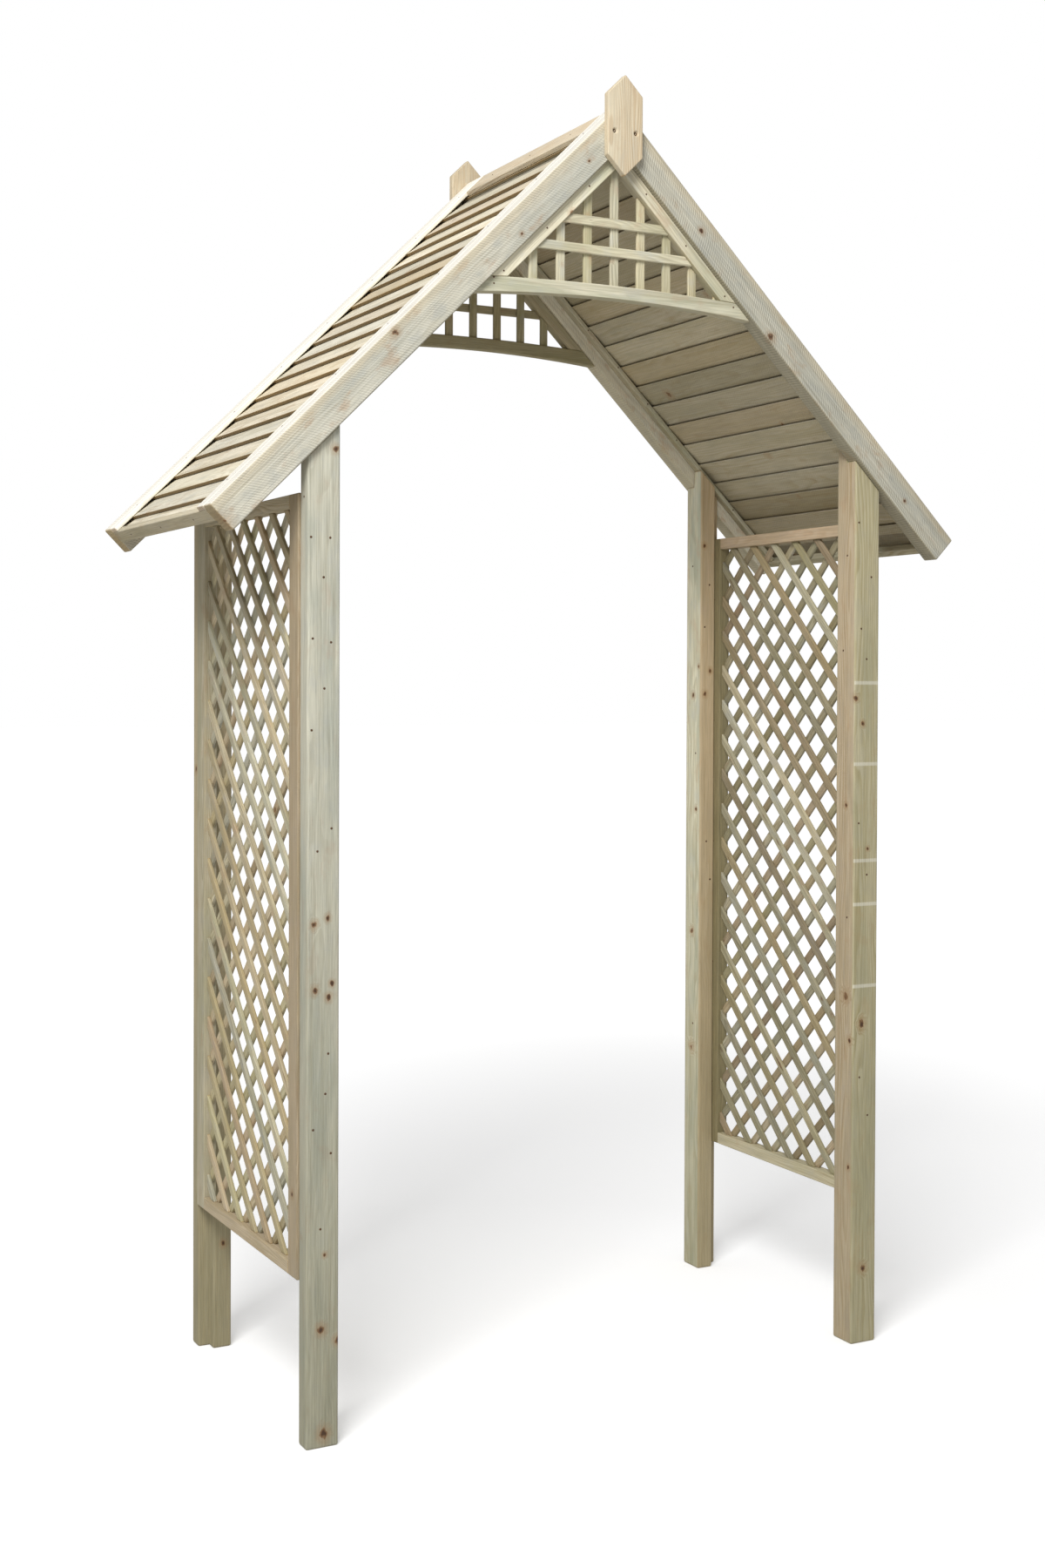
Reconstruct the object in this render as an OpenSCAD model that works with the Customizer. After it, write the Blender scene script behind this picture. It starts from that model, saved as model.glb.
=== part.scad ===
// Apex garden arch in planed, pressure-treated pine.
// Four square posts carry two pairs of rafters, a lapped board roof and two
// framed diamond lattices. X runs across the way through, Y along it, Z up.
// The origin is on the ground, at the middle of the four posts.

/* [Posts] */
// Width of the arch over the outer faces of its posts
arch_w = 1418; // [900:1:2400]
// Depth of the arch over the front and back faces of its posts
arch_d = 720; // [450:1:1400]
// Height of a post at its outer face, where its slanted top meets the rafter
post_h = 1980; // [1500:1:2600]
// Side of the square post
post_t = 70; // [60:1:110]
// Width of the rebate in the outer corner of a post
rebate_w = 26; // [16:1:34]
// Depth of the rebate, along the side panel
rebate_d = 28; // [12:1:34]

/* [Roof] */
// Pitch of both roof slopes
roof_pitch = 44.5; // [35:0.5:55]
// Overhang of the rafters past the posts, level
eave_overhang = 206; // [100:1:400]
// Width of a rafter, square to the slope
rafter_w = 68; // [60:1:100]
// Thickness of a rafter
rafter_t = 45; // [30:1:60]
// How far the rafters stand out in front of the posts
rafter_proud = 13; // [4:1:25]
// Width of the battens under the roof boards, along the arch
batten_w = 22; // [16:1:30]
// Thickness of the battens, square to the slope
batten_t = 12; // [8:1:25]
// Width of the verge strips over the board ends
verge_w = 41; // [30:1:60]
// Thickness of the verge strips
verge_t = 10; // [6:1:14]
// Thickness of the eave boards
eave_t = 18; // [12:1:25]
// Height of the eave boards, square to the slope
eave_h = 30; // [22:1:45]

/* [Roof boards] */
// Distance between the lower edges of two boards
board_pitch = 67; // [50:1:90]
// Width of one feather-edge board
board_w = 105; // [95:1:140]
// Thickness of a board at its thin upper edge
board_thin = 4; // [3:0.5:6]
// Thickness of a board at its thick lower edge
board_thick = 8; // [6:0.5:12]
// Distance from the lowest full board's edge to the rafter ends
first_edge = 50; // [30:1:60]
// Width of the two ridge boards
ridge_w = 68; // [50:1:120]
// Thickness of the two ridge boards
ridge_t = 12; // [8:1:16]

/* [Gables] */
// Height from the collar's underside up to where the rafters' undersides meet
collar_drop = 321; // [220:1:420]
// Height of a collar at its middle
collar_h = 29; // [22:1:50]
// Rise of the arc under a collar
collar_rise = 15; // [6:1:30]
// Rise of the arc on top of a collar
collar_top_rise = 10; // [4:1:20]
// Thickness of collars and gable strips
frame_t = 27; // [20:1:32]
// Width of the gable strips under the rafters
strip_w = 27; // [20:1:40]
// Width of a gable lath
gable_lath_w = 20; // [12:1:28]
// Distance between two upright gable laths
gable_pitch_x = 66; // [50:1:90]
// Distance between two level gable laths
gable_pitch_z = 61; // [48:1:90]
// Height of the lowest level lath over the collar
gable_first_z = 73; // [50:1:100]
// Width of the finial boards
finial_w = 86; // [60:1:120]
// Thickness of the finial boards
finial_t = 18; // [12:1:25]
// Height of the finial points over the rafter tops
finial_rise = 56; // [20:1:90]
// Length of the finial boards from point to point
finial_len = 215; // [180:1:300]

/* [Side panels] */
// Height of the side panels' lower edge
panel_z0 = 330; // [100:1:600]
// Height of the side panels' upper edge
panel_z1 = 1910; // [1200:1:1950]
// Thickness of the panel frames
panel_t = 30; // [24:1:36]
// Width of the panel stiles
stile_w = 50; // [40:1:70]
// Height of the panel rails
rail_h = 28; // [20:1:50]
// Width of a diamond lath
lath_w = 19; // [12:1:26]
// Thickness of one layer of laths
lath_t = 8; // [5:1:10]
// Distance between two diamond laths along an edge of the panel
lath_step = 90; // [70:1:130]

/* [Hidden] */

left = -1;
right = 1;
front = -1;
back = 1;

post_c = "#C3BE9C";
rafter_c = "#C6C5B4";
board_c = "#E6DCC3";
strip_c = "#ECE4CF";
frame_c = "#C9C4A2";
lath_c = "#BDB68F";
finial_c = "#DCCBAA";

// Gap left between two lapped boards
lap_gap = 0.3;
// Depth by which crossing laths are let into each other
lath_bite = 1;
// Facets of the long collar arcs
arc_facets = 720;

half_w = arch_w / 2;
half_d = arch_d / 2;

// The rafters' undersides rest on the post tops
under_ridge_z = post_h + half_w * tan(roof_pitch);
ridge_z = under_ridge_z + rafter_w / cos(roof_pitch);
slope_len = (half_w + eave_overhang) / cos(roof_pitch);
rafter_y0 = -half_d - rafter_proud;
rafter_y1 = rafter_y0 + rafter_t;

// Boards lie on the battens and come up to the verge strips' underside
board_lap = board_w - board_pitch;
lap_share = board_lap / board_w;
board_lift = (board_thin + (board_thick - board_thin) * lap_share + lap_gap) / (1 - lap_share);
board_top_rise = board_lift + board_thick;
board_fall = (board_top_rise - board_thin) / board_w;
board_n = -verge_t - board_top_rise;
lowest_edge = slope_len - first_edge;
eave_s = slope_len - eave_t;

// The top board closes the ridge under the two ridge boards
ridge_board_edge = ridge_w + 3;
board_count = floor((lowest_edge - ridge_board_edge - board_pitch) / board_pitch) + 1;
last_edge = lowest_edge - (board_count - 1) * board_pitch;
last_top = last_edge - board_w;
top_board_lift = board_thin + max(0, ridge_board_edge - last_top) * board_fall + lap_gap;
top_board_s0 = -board_n * tan(roof_pitch) + lap_gap;
ridge_board_n = board_n + top_board_lift + board_thick;

// Collars and the lattice above them fill the gables flush with the posts
gable_y0 = -half_d;
gable_y1 = gable_y0 + frame_t;
collar_z = under_ridge_z - collar_drop;
collar_top_z = collar_z + collar_h;
collar_half = collar_drop / tan(roof_pitch);
collar_r = (pow(collar_half, 2) + pow(collar_rise, 2)) / (2 * collar_rise);
collar_top_r = (pow(collar_half, 2) + pow(collar_top_rise, 2)) / (2 * collar_top_rise);
gable_apex_z = under_ridge_z - strip_w / cos(roof_pitch);
gable_lath_y = gable_y0 + (frame_t - 2 * lath_t + lath_bite) / 2;

// Side panel frames sit in the post rebates
panel_x0 = -half_w + rebate_w - panel_t;
panel_y0 = -half_d + post_t - rebate_d;
lattice_half_y = -panel_y0 - stile_w;
lattice_z0 = panel_z0 + rail_h;
lattice_z1 = panel_z1 - rail_h;
lath_x0 = panel_x0 + (panel_t - 2 * lath_t + lath_bite) / 2;

// Point in the X-Z plane, s down the right slope from the ridge, n out of it
function slope_point(s, n) = [
    s * cos(roof_pitch) + n * sin(roof_pitch),
    ridge_z - s * sin(roof_pitch) + n * cos(roof_pitch)
];

// Height at x of the plane at depth n in the right slope
function slope_z(x, n) = ridge_z + n / cos(roof_pitch) - x * tan(roof_pitch);

// Point on the plumb cut at the ridge, at depth n
function ridge_point(n) = slope_point(-n * tan(roof_pitch), n);

// Runs a section of the X-Z plane along Y
module along_y(y0, y1) {
    translate([0, y1, 0]) rotate([90, 0, 0]) linear_extrude(y1 - y0) children();
}

// Mirrors what is drawn at the right to one side
module to_side(side) {
    mirror([side == left ? 1 : 0, 0, 0]) children();
}

// Mirrors what is drawn at the front to one end
module to_end(end) {
    mirror([0, end == back ? 1 : 0, 0]) children();
}

// Timber along the right slope with a plumb cut at the ridge
module slope_timber(y0, y1, n0, n1, s1) {
    along_y(y0, y1) polygon([ridge_point(n1), slope_point(s1, n1), slope_point(s1, n0), ridge_point(n0)]);
}

// Part of a post between y0 and y1, cut off along the slope at depth n
module post_part(y0, y1, n) {
    x0 = half_w - post_t;
    along_y(y0, y1) polygon([[x0, 0], [half_w, 0], [half_w, slope_z(half_w, n)], [x0, slope_z(x0, n)]]);
}

// Post notched round its rafter, with a rebate in its outer corner. The outer part
// carries the rafter and the inner part rises behind it to the batten.
module post(end, side) {
    color(post_c) to_end(end) to_side(side) difference() {
        union() {
            post_part(-half_d, rafter_y1, -rafter_w);
            post_part(rafter_y1, -half_d + post_t, board_n - batten_t);
        }
        translate([half_w - rebate_w, -half_d + post_t - rebate_d, -1])
            cube([rebate_w + 1, rebate_d + 1, ridge_z]);
    }
}

module rafter(end, side) {
    color(rafter_c) to_end(end) to_side(side)
        slope_timber(rafter_y0, rafter_y1, -rafter_w, 0, slope_len);
}

// Batten on the inner face of a rafter, under the board ends
module roof_batten(end, side) {
    color(frame_c) to_end(end) to_side(side)
        slope_timber(rafter_y1, rafter_y1 + batten_w, board_n - batten_t, board_n, eave_s);
}

// Strip over the board ends, flush with the rafter's top
module verge_strip(end, side) {
    color(strip_c) to_end(end) to_side(side)
        slope_timber(rafter_y1, rafter_y1 + verge_w, -verge_t, 0, slope_len);
}

// Section of a feather-edge board with its thick edge at s1, cut off at s_max
module board_section(s1, s_max) {
    s0 = s1 - board_w;
    s2 = min(s1, s_max);
    share = (s2 - s0) / board_w;
    polygon([
        slope_point(s0, board_n),
        slope_point(s0, board_n + board_thin),
        slope_point(s2, board_n + board_thin + (board_top_rise - board_thin) * share),
        slope_point(s2, board_n + board_lift * share)
    ]);
}

// Lapped boards of one slope, from the eave board up to the ridge
module roof_boards(side) {
    color(board_c) to_side(side) {
        for (i = [-1 : board_count - 1])
            along_y(rafter_y1, -rafter_y1)
                board_section(lowest_edge - i * board_pitch, eave_s);
        along_y(rafter_y1, -rafter_y1) polygon([
            slope_point(top_board_s0, board_n),
            slope_point(top_board_s0, board_n + board_thin),
            slope_point(ridge_board_edge, board_n + top_board_lift + board_thick),
            slope_point(ridge_board_edge, board_n + top_board_lift)
        ]);
    }
}

// Board across the eave, between the rafter ends
module eave_board(side) {
    color(frame_c) to_side(side) along_y(rafter_y1, -rafter_y1) polygon([
        slope_point(eave_s, -verge_t),
        slope_point(slope_len, -verge_t),
        slope_point(slope_len, -verge_t - eave_h),
        slope_point(eave_s, -verge_t - eave_h)
    ]);
}

// One of the two boards that cap the ridge
module ridge_board(side) {
    color(board_c) to_side(side)
        slope_timber(rafter_y1 + verge_w, -rafter_y1 - verge_w, ridge_board_n,
                     ridge_board_n + ridge_t, ridge_w);
}

// Board with two points, over the joint of a pair of rafters
module finial(end) {
    tip = finial_w / 2 * tan(roof_pitch);
    z1 = ridge_z + finial_rise;
    z0 = z1 - finial_len;
    color(finial_c) to_end(end) along_y(rafter_y0 - finial_t, rafter_y0) polygon([
        [0, z1], [finial_w / 2, z1 - tip], [finial_w / 2, z0 + tip],
        [0, z0], [-finial_w / 2, z0 + tip], [-finial_w / 2, z1 - tip]
    ]);
}

// Everything in the X-Z plane inside the rafters' undersides
module under_rafters(drop) {
    reach = half_w;
    polygon([
        [0, under_ridge_z - drop],
        [reach, under_ridge_z - drop - reach * tan(roof_pitch)],
        [-reach, under_ridge_z - drop - reach * tan(roof_pitch)]
    ]);
}

// Round plate whose edge is the arc on top of a collar
module collar_top_plate() {
    translate([0, collar_top_z - collar_top_r]) circle(r = collar_top_r, $fn = arc_facets);
}

// Arched tie between a pair of rafters
module collar(end) {
    color(frame_c) to_end(end) along_y(gable_y0, gable_y1) difference() {
        intersection() {
            under_rafters(0);
            collar_top_plate();
        }
        translate([0, collar_z - collar_r]) circle(r = collar_r, $fn = arc_facets);
    }
}

// Strip under a rafter, from the ridge down to the collar
module gable_strip(end, side) {
    color(frame_c) to_end(end) to_side(side) along_y(gable_y0, gable_y1) difference() {
        polygon([
            [0, under_ridge_z], [collar_half, collar_z],
            [collar_half, collar_z - strip_w / cos(roof_pitch)], [0, gable_apex_z]
        ]);
        collar_top_plate();
    }
}

// Square lattice over a collar, level laths outside and upright ones inside
module gable_lattice(end) {
    z0 = collar_z;
    height = gable_apex_z - z0;
    half = height / tan(roof_pitch);
    uprights = floor(half / gable_pitch_x);
    levels = floor((gable_apex_z - collar_top_z - gable_first_z - gable_lath_w) / gable_pitch_z);
    color(lath_c) to_end(end) {
        along_y(gable_lath_y, gable_lath_y + lath_t) intersection() {
            under_rafters(strip_w / cos(roof_pitch));
            union() for (i = [0 : levels])
                translate([-half, collar_top_z + gable_first_z + i * gable_pitch_z - gable_lath_w / 2])
                    square([2 * half, gable_lath_w]);
        }
        along_y(gable_lath_y + lath_t - lath_bite, gable_lath_y + 2 * lath_t - lath_bite) difference() {
            intersection() {
                under_rafters(strip_w / cos(roof_pitch));
                union() for (i = [-uprights : uprights])
                    translate([i * gable_pitch_x - gable_lath_w / 2, z0]) square([gable_lath_w, height]);
            }
            collar_top_plate();
        }
    }
}

// One layer of slanted laths in the Y-Z plane, clipped to the panel frame
module lath_layer(lean) {
    height = lattice_z1 - lattice_z0;
    reach = 2 * lattice_half_y + height;
    count = ceil(reach / lath_step);
    intersection() {
        translate([-lattice_half_y, lattice_z0]) square([2 * lattice_half_y, height]);
        union() for (i = [-count : count])
            translate([i * lath_step, (lattice_z0 + lattice_z1) / 2]) rotate(lean)
                translate([-reach, -lath_w / 2]) square([2 * reach, lath_w]);
    }
}

// Stands a Y-Z plane section up at x0, with its thickness along X
module along_x(x0, x1) {
    translate([x0, 0, 0]) rotate([90, 0, 90]) linear_extrude(x1 - x0) children();
}

// Diamond lattice of a side panel, in two layers fused where they cross
module side_lattice(side) {
    shift = side == left ? 0 : -2 * lath_x0 - 2 * lath_t + lath_bite;
    color(lath_c) translate([shift, 0, 0]) {
        along_x(lath_x0, lath_x0 + lath_t) lath_layer(45);
        along_x(lath_x0 + lath_t - lath_bite, lath_x0 + 2 * lath_t - lath_bite) lath_layer(-45);
    }
}

// Upright of a side panel frame, in the rebate of a post
module stile(end, side) {
    color(frame_c) to_end(end) mirror([side == right ? 1 : 0, 0, 0])
        translate([panel_x0, panel_y0, panel_z0]) cube([panel_t, stile_w, panel_z1 - panel_z0]);
}

// Rail of a side panel frame, between the stiles
module rail(side, z0) {
    color(frame_c) mirror([side == right ? 1 : 0, 0, 0])
        translate([panel_x0, -lattice_half_y, z0]) cube([panel_t, 2 * lattice_half_y, rail_h]);
}

post(front, left);  // post_front_left
post(front, right);  // post_front_right
post(back, left);  // post_back_left
post(back, right);  // post_back_right
rafter(front, left);  // rafter_front_left
rafter(front, right);  // rafter_front_right
rafter(back, left);  // rafter_back_left
rafter(back, right);  // rafter_back_right
roof_batten(front, left);  // roof_batten_front_left
roof_batten(front, right);  // roof_batten_front_right
roof_batten(back, left);  // roof_batten_back_left
roof_batten(back, right);  // roof_batten_back_right
verge_strip(front, left);  // verge_strip_front_left
verge_strip(front, right);  // verge_strip_front_right
verge_strip(back, left);  // verge_strip_back_left
verge_strip(back, right);  // verge_strip_back_right
roof_boards(left);  // roof_boards_left
roof_boards(right);  // roof_boards_right
eave_board(left);  // eave_board_left
eave_board(right);  // eave_board_right
ridge_board(left);  // ridge_board_left
ridge_board(right);  // ridge_board_right
finial(front);  // finial_front
finial(back);  // finial_back
collar(front);  // collar_front
collar(back);  // collar_back
gable_strip(front, left);  // gable_strip_front_left
gable_strip(front, right);  // gable_strip_front_right
gable_strip(back, left);  // gable_strip_back_left
gable_strip(back, right);  // gable_strip_back_right
gable_lattice(front);  // gable_lattice_front
gable_lattice(back);  // gable_lattice_back
side_lattice(left);  // side_lattice_left
side_lattice(right);  // side_lattice_right
stile(front, left);  // stile_front_left
stile(back, left);  // stile_back_left
stile(front, right);  // stile_front_right
stile(back, right);  // stile_back_right
rail(left, lattice_z1);  // top_rail_left
rail(right, lattice_z1);  // top_rail_right
rail(left, panel_z0);  // bottom_rail_left
rail(right, panel_z0);  // bottom_rail_right
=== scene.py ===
"""Garden arch in treated pine: every timber, lath and fixing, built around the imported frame."""

import math
import random
from functools import partial

import bmesh
import bpy
from bpy.props import FloatProperty, FloatVectorProperty, PointerProperty
from mathutils import Matrix, Vector


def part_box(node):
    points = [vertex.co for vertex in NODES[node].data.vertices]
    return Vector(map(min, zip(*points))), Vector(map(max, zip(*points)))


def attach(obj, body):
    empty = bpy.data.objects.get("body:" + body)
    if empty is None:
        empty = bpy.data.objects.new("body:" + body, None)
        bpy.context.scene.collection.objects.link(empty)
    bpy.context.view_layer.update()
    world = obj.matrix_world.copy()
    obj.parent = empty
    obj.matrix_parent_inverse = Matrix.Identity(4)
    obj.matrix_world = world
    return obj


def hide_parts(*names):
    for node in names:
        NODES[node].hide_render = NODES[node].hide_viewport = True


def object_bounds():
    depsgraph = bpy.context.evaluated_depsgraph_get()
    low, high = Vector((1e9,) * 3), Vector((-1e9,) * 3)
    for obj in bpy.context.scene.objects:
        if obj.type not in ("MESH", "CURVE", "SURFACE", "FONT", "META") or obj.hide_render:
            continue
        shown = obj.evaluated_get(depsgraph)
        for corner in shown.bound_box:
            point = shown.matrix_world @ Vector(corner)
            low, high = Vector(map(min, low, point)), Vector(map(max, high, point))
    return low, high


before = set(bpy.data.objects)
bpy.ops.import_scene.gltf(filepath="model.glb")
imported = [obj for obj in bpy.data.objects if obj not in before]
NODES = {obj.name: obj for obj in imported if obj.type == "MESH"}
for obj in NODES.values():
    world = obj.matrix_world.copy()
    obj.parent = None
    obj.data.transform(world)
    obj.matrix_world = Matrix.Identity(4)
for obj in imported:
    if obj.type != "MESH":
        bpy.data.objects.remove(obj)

bl_info = {
    "name": "Garden arch",
    "version": (1, 0, 0),
    "blender": (4, 5, 0),
    "location": "3D Viewport > Sidebar > Garden arch",
    "description": "Builds the timbers, laths and fixings of a garden arch on its frame",
    "category": "Add Mesh",
}

BODY = "root"
CAD_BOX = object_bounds()
ENDS = ("front", "back")
SIDES = ("left", "right")
ACROSS = Vector((1, 0, 0))
THROUGH = Vector((0, 1, 0))
UP = Vector((0, 0, 1))

# Timbers with placed knots: how many each can hold, and where an unused one goes
KNOTTY_SLOTS = ("post_timber", "rafter_timber")
KNOTS_A_TIMBER = 10
FAR_KNOT = 100

# Knots of the posts: the face, the height, the distance across and the radius, in millimetres
POST_KNOTS = {
    "post_front_left": (
        ("front", 1996, 60, 6), ("front", 1049, 15, 6), ("front", 1061, 44, 5),
        ("front", 930, 54, 5), ("front", 917, 17, 6), ("front", 903, 46, 6),
        ("front", 239, 32, 8), ("front", 212, 67, 7), ("front", 28, 38, 10), ("front", 387, 39, 4),
    ),
    "post_front_right": (
        ("front", 744, 26, 9), ("front", 174, 33, 8), ("front", 1500, 4, 6),
        ("front", 1440, 24, 5), ("front", 1150, 40, 4), ("left", 705, 12, 6),
        ("left", 410, 14, 5), ("left", 1250, 30, 5), ("right", 900, 30, 8), ("right", 1500, 44, 6),
    ),
    "post_back_right": (
        ("front", 1892, 10, 5), ("front", 1505, 14, 6), ("front", 1566, 30, 5),
        ("left", 1502, 34, 6), ("left", 1577, 10, 4), ("left", 883, 36, 7),
        ("left", 1204, 20, 5), ("back", 700, 30, 8), ("back", 1560, 46, 6), ("back", 1600, 18, 5),
    ),
    "post_back_left": (
        ("front", 240, 50, 6), ("left", 1020, 30, 8), ("left", 1330, 48, 6), ("left", 620, 22, 6),
        ("back", 1710, 30, 7), ("back", 1190, 44, 8), ("back", 430, 24, 9),
    ),
}
# Knots of the rafters: the distance down the slope and in from the top, and the radius
RAFTER_KNOTS = {
    "rafter_front_left": ((751, 13, 7), (385, 50, 4), (150, 40, 3), (1299, 45, 16)),
    "rafter_front_right": ((320, 34, 6), (605, 58, 8), (1120, 40, 4)),
    "rafter_back_left": ((500, 30, 7), (860, 48, 5)),
    "rafter_back_right": ((640, 34, 7), (1050, 26, 5)),
}
# Small nails in the posts: the face, the height and the distance across, in millimetres
POST_NAILS = {
    "post_front_left": (
        ("front", 1819, 7), ("front", 1819, 48), ("front", 1740, 34), ("front", 1618, 11),
        ("front", 1611, 50), ("front", 1519, 36), ("front", 1436, 9), ("front", 1240, 52),
        ("front", 1195, 22), ("front", 790, 46), ("front", 710, 40), ("front", 640, 14),
        ("front", 590, 52), ("front", 440, 30), ("left", 1900, 20), ("right", 1880, 30),
    ),
    "post_front_right": (
        ("front", 1905, 10), ("front", 1780, 46), ("front", 1660, 18), ("front", 1590, 34),
        ("front", 1210, 14), ("front", 1090, 38), ("front", 620, 20), ("front", 530, 44),
        ("left", 1830, 30), ("left", 1610, 44), ("left", 990, 24),
    ),
    "post_back_right": (
        ("front", 1790, 26), ("front", 1680, 12), ("front", 1120, 20), ("front", 1020, 32),
        ("left", 1840, 40), ("left", 1350, 22), ("left", 640, 30), ("back", 1880, 20),
        ("back", 1880, 50), ("back", 1200, 34), ("back", 520, 24),
    ),
    "post_back_left": (
        ("back", 1880, 20), ("back", 1880, 50), ("back", 1420, 30), ("back", 760, 44),
        ("left", 1790, 20), ("left", 1100, 26), ("front", 300, 44),
    ),
}
# Heights of the pale strap marks on one post, in metres
STRAPS = (1.535, 1.347, 1.123, 1.022, 0.832)

# How single timbers differ from the rest of their wood: lighter, warmer, more olive
NO_TINT = (0, 0, 0)
TINTS = {
    "post_front_left": (-0.3, -0.5, 0.0),
    "post_front_right": (-0.25, 0.1, 0.65),
    "post_back_left": (-0.3, 0.5, 0.45),
    "post_back_right": (0.5, 0.8, 0.3),
    "rafter_front_left": (-0.4, -0.1, 0.1),
    "rafter_front_right": (-0.65, -0.15, 0.2),
    "rafter_back_left": (0.2, 0.2, 0.3),
    "rafter_back_right": (0.9, 0.1, 0.2),
    "gable_strip_front_left": (1.0, 0.0, 0.0),
    "eave_board_left": (-0.3, 0.2, 0.0),
    "ridge_board_left": (0.3, 0.0, 0.0),
    "ridge_board_right": (0.3, 0.0, 0.0),
    "verge_strip_back_left": (0.5, 0.0, 0.0),
    "stile_front_left": (-1.0, 0.6, 0.2),
    "stile_back_left": (-0.7, 0.3, 0.3),
    "stile_front_right": (-0.5, 0.4, 0.2),
    "stile_back_right": (-1.3, 0.4, 0.9),
    "top_rail_right": (-0.1, 0.9, 0.0),
    "top_rail_left": (-0.3, 0.3, 0.2),
    "bottom_rail_right": (-0.1, 0.2, 0.4),
    "bottom_rail_left": (-0.3, 0.5, 0.1),
    "collar_back": (-0.7, 0.2, 0.8),
    "gable_strip_back_left": (-0.4, 0.2, 0.4),
    "gable_strip_back_right": (-0.4, 0.3, 0.4),
    "finial_back": (-0.2, 0.2, 0.2),
}
LATTICE_TINTS = {
    "left": (-0.35, 0.1, 0.2), "right": (-0.95, 0.2, 0.25),
    "front": (0.3, -0.1, 0.0), "back": (-0.4, 0.2, 0.5),
}
# How much the boards and laths of one group differ from each other
BOARD_VARIETY = 0.45
DIAMOND_VARIETY = 0.55
GABLE_VARIETY = 0.25
# The same for the faces of a timber that look along X, on top of its own tint
SIDE_TINTS = {
    "post_front_right": (0.1, 0.55, -0.55),
    "post_back_right": (0.3, -0.8, -0.35),
}

# How far apart the nails in a timber are, in metres
NAIL_STEPS = {
    "eave_board": 0.24, "ridge_board": 0.2, "verge_strip": 0.16, "roof_batten": 0.13,
    "gable_strip": 0.14, "rail": 0.12, "stile": 0.3,
}
# The heads of the nails outside the posts, as a share of those in the posts
SMALL_HEAD = 0.8
# Nails that hold the collars: the distance from the middle, and below the top
COLLAR_NAILS = ((-0.298, 0.011), (-0.298, 0.024), (0.298, 0.018))

# The soft box and the pale room that light the arch
SOFT_BOX_AT = Vector((-3.4, -3.6, 5.4))
SOFT_BOX_WATTS = 370
SOFT_BOX_SIZE = 2.4
ROOM_LIGHT = 0.42
# The camera: its place, the way it looks in degrees, its lens and its shift
CAMERA_AT = (-2.0996, -3.9207, 1.5289)
CAMERA_YAW = 27.82
CAMERA_PITCH = -0.76
CAMERA_ROLL = 0.21
CAMERA_LENS = 44.03
CAMERA_SHIFT = (-0.0018, -0.0474)
# The floor's lift to white grows with the distance from the arch: from, to, low, high
FLOOR_LIFT = (1.2, 5, 0.32, 0.66)
FLOOR_HALF = 60


# ---------------------------------------------------------------------------
# Sizes and colours that a user may change


def linear(hex_colour):
    """An sRGB hex value as linear red, green and blue."""
    values = [int(hex_colour[i:i + 2], 16) / 255 for i in (0, 2, 4)]
    return tuple(v / 12.92 if v <= 0.04045 else ((v + 0.055) / 1.055) ** 2.4 for v in values)


def length(name, description, millimetres):
    """A length property, given in millimetres and held in metres."""
    return FloatProperty(
        name=name, description=description, default=millimetres / 1000, min=0.0001,
        unit="LENGTH", precision=4,
    )


def colour(name, description, hex_colour):
    """A colour property, given as an sRGB hex value."""
    return FloatVectorProperty(
        name=name, description=description, default=linear(hex_colour), min=0, max=1,
        size=3, subtype="COLOR",
    )


class ArchSizes(bpy.types.PropertyGroup):
    """Sizes of the arrises, laths and fixings"""

    post_arris: length("Post arris", "Radius of the rounded corners of the posts", 5)
    rafter_arris: length("Rafter arris", "Radius of the rounded corners of the rafters", 4)
    frame_arris: length("Frame arris", "Radius of the corners of frames, strips and collars", 2.5)
    board_arris: length("Board arris", "Radius of the corners of the roof boards", 1.2)
    lath_arris: length("Lath arris", "Radius of the corners of the laths", 1.8)
    finial_arris: length("Finial arris", "Radius of the corners of the finial boards", 2.5)
    board_step: length("Board step", "Distance between the lower edges of two roof boards", 67)
    board_width: length("Board width", "Width of one roof board", 105)
    lath_width: length("Lath width", "Width of a diamond lath", 19)
    lath_step: length("Lath step", "Distance between two diamond laths along an edge", 90)
    gable_lath_width: length("Gable lath width", "Width of a gable lath", 20)
    gable_step_across: length("Gable step across", "Distance between two upright gable laths", 66)
    gable_step_up: length("Gable step up", "Distance between two level gable laths", 61)
    gable_first: length("First gable lath", "Height of the lowest level lath over its collar", 73)
    nail_head: length("Nail head", "Diameter of a nail head", 5)
    screw_head: length("Screw head", "Diameter of a screw head in a finial board", 9)
    screw_depth: length("Screw depth", "Depth of the screw heads in the finial boards", 5)


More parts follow.
